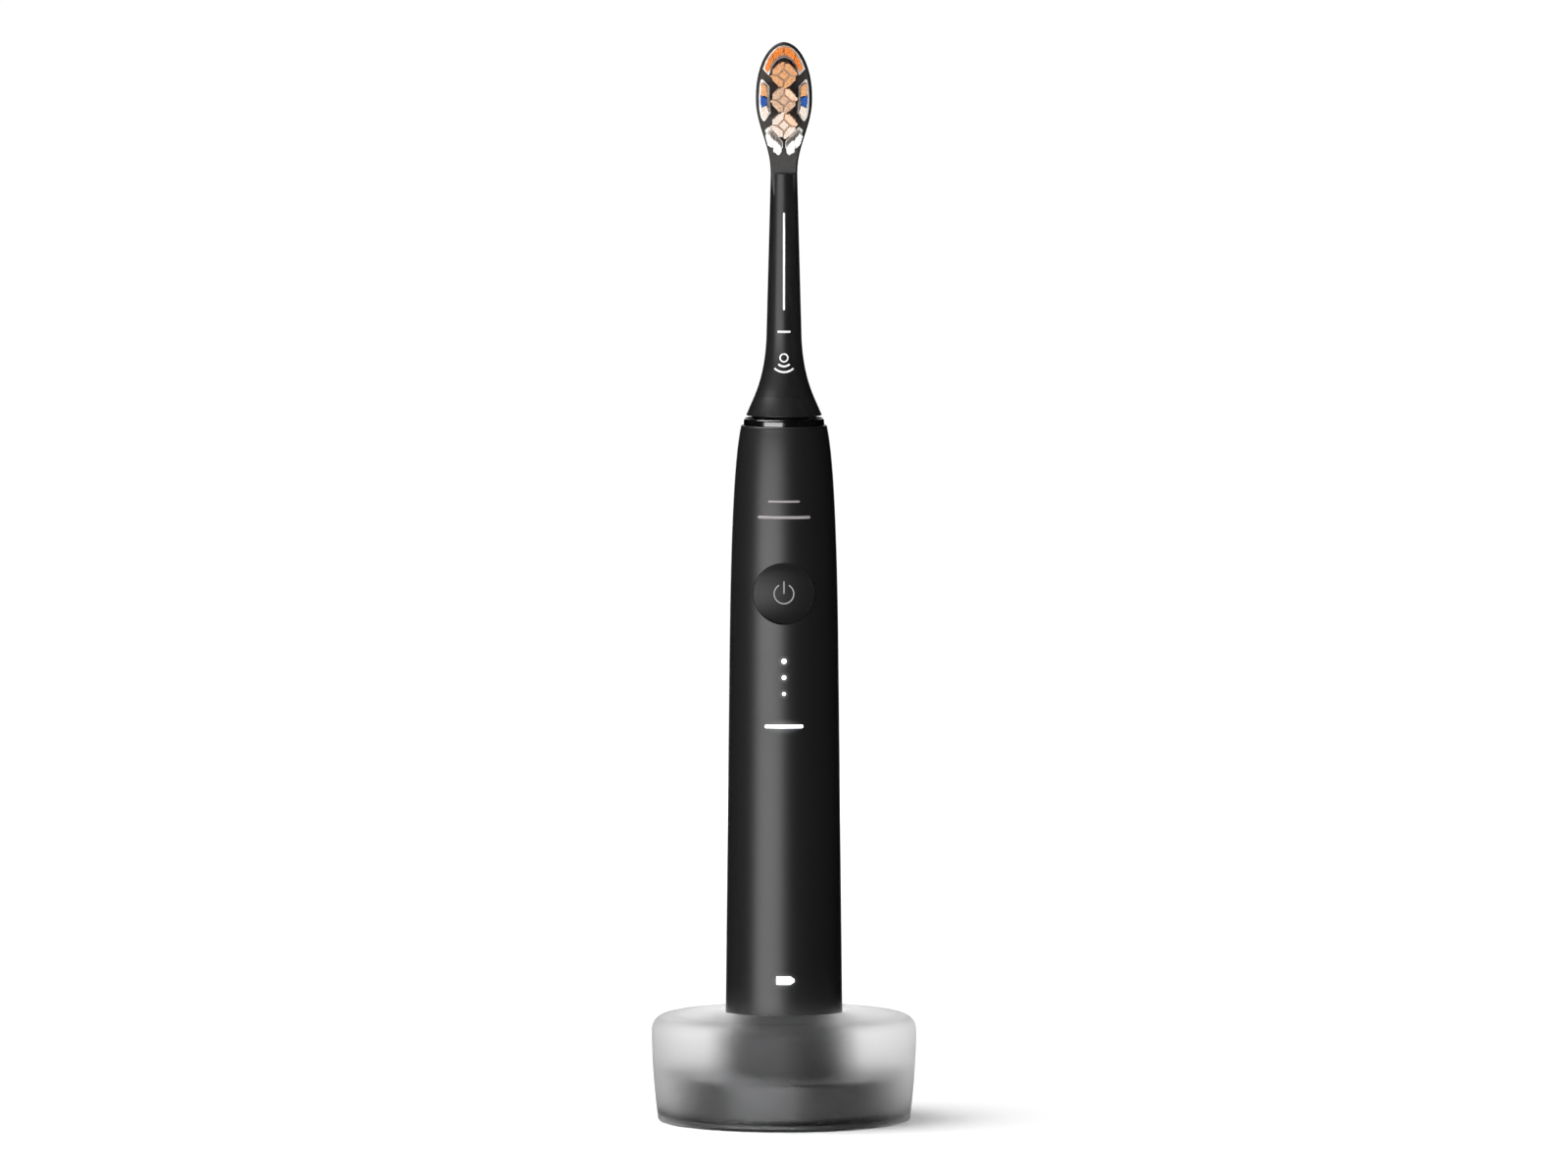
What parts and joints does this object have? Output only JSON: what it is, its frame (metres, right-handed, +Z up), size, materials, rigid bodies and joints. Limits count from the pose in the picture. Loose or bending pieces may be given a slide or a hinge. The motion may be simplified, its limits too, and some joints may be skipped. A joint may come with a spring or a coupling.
{
  "type": "electric toothbrush on charger",
  "caption": "Slim round sonic toothbrush standing in a frosted puck charger: matt handle with a round button and lights, pull-off brush head, motor, battery and charging coils inside.",
  "frame": {"origin": "on the table, under the middle of the charger", "axes": "+Z up along the handle; the bristles, button and lights face -Y; the cord's gland faces +Y"},
  "size_m": [0.0634, 0.0634, 0.2584],
  "materials": {
    "frosted_plastic": "frosted translucent",
    "satin_black": "satin",
    "matte_black": "fine matt",
    "gloss_black": "high gloss",
    "face_grey": "matt",
    "frame_grey": "moulded",
    "black_rubber": "matt",
    "white_rubber": "soft matt",
    "lit_lens": "clear, lit",
    "circuit_board": "solder resist",
    "chip": "moulded",
    "cell_wrap": "shrink sleeve",
    "ferrite": "sintered",
    "copper": "enamelled wire",
    "steel": "plain",
    "nickel": "plated",
    "orange_nylon": "bristle",
    "tan_nylon": "bristle",
    "cream_nylon": "bristle",
    "blue_nylon": "bristle",
    "white_nylon": "bristle"
  },
  "bodies": {
    "charger": {"puck_body": "frosted_plastic", "base_cover": "satin_black", "base_plate": "matte_black", "foot_ring": "black_rubber", "base_screw_1": "steel", "base_screw_2": "steel", "primary_bobbin": "frame_grey", "primary_coil": "copper", "ferrite_core": "ferrite", "charger_pcb": "circuit_board", "cord_gland": "black_rubber"},
    "handle": {"handle_housing": "matte_black", "end_cap": "matte_black", "end_cap_seal": "black_rubber", "receiver_coil": "copper", "chassis": "frame_grey", "battery_cell": "cell_wrap", "battery_tab_bottom": "nickel", "battery_tab_top": "nickel", "main_pcb": "circuit_board", "controller_chip": "chip", "indicator_leds": "lit_lens", "charge_led": "lit_lens", "mode_light_guide": "lit_lens", "charge_light_guide": "lit_lens", "switch_body": "chip", "button_seal": "black_rubber", "stator_core": "steel", "stator_coil": "copper", "leaf_spring_left": "steel", "leaf_spring_right": "steel", "spring_anchor": "frame_grey", "front_bearing": "nickel", "sync_antenna": "circuit_board", "top_cap": "satin_black", "trim_ring": "gloss_black", "shaft_seal": "black_rubber"},
    "button": {"button_cap": "matte_black"},
    "plunger": {"switch_plunger": "frame_grey"},
    "drive": {"drive_shaft": "steel", "armature": "steel", "magnet_left": "nickel", "magnet_right": "nickel"},
    "brush_head": {"head_body": "satin_black", "skirt_collar": "matte_black", "socket_insert": "frame_grey", "spring_clip": "steel", "head_tag": "circuit_board", "face_plate": "face_grey", "tuft_matrix": "white_rubber", "tip_tufts": "orange_nylon", "center_tufts_1": "tan_nylon", "center_tufts_2": "tan_nylon", "center_tufts_3": "cream_nylon", "side_tufts_left": "tan_nylon", "blue_tuft_left": "blue_nylon", "heel_tufts_left": "white_nylon", "side_tufts_right": "tan_nylon", "blue_tuft_right": "blue_nylon", "heel_tufts_right": "white_nylon"}
  },
  "joints": [
    {"name": "handle_lift", "type": "slide", "parent": "charger", "child": "handle", "axis": [0, 0, 1], "range_m": [0, 0.06]},
    {"name": "shaft_swing", "type": "hinge", "parent": "handle", "child": "drive", "pos_m": [0, 0, 0.155], "axis": [0, 0, 1], "range_deg": [-5.5, 5.5], "stiffness_Nm_per_rad": 0.02, "deforming": ["leaf_spring_left", "leaf_spring_right"]},
    {"name": "head_pull", "type": "slide", "parent": "drive", "child": "brush_head", "axis": [0, 0, 1], "range_m": [0, 0.035]},
    {"name": "button_press", "type": "slide", "parent": "handle", "child": "button", "axis": [0, 1, 0], "range_m": [0, 0.0005], "stiffness_N_per_m": 2000},
    {"name": "plunger_press", "type": "slide", "parent": "handle", "child": "plunger", "axis": [0, 1, 0], "range_m": [0, 0.0005]}
  ],
  "couplings": [
    {"joint": "plunger_press", "follows": "button_press", "ratio": 1}
  ]
}
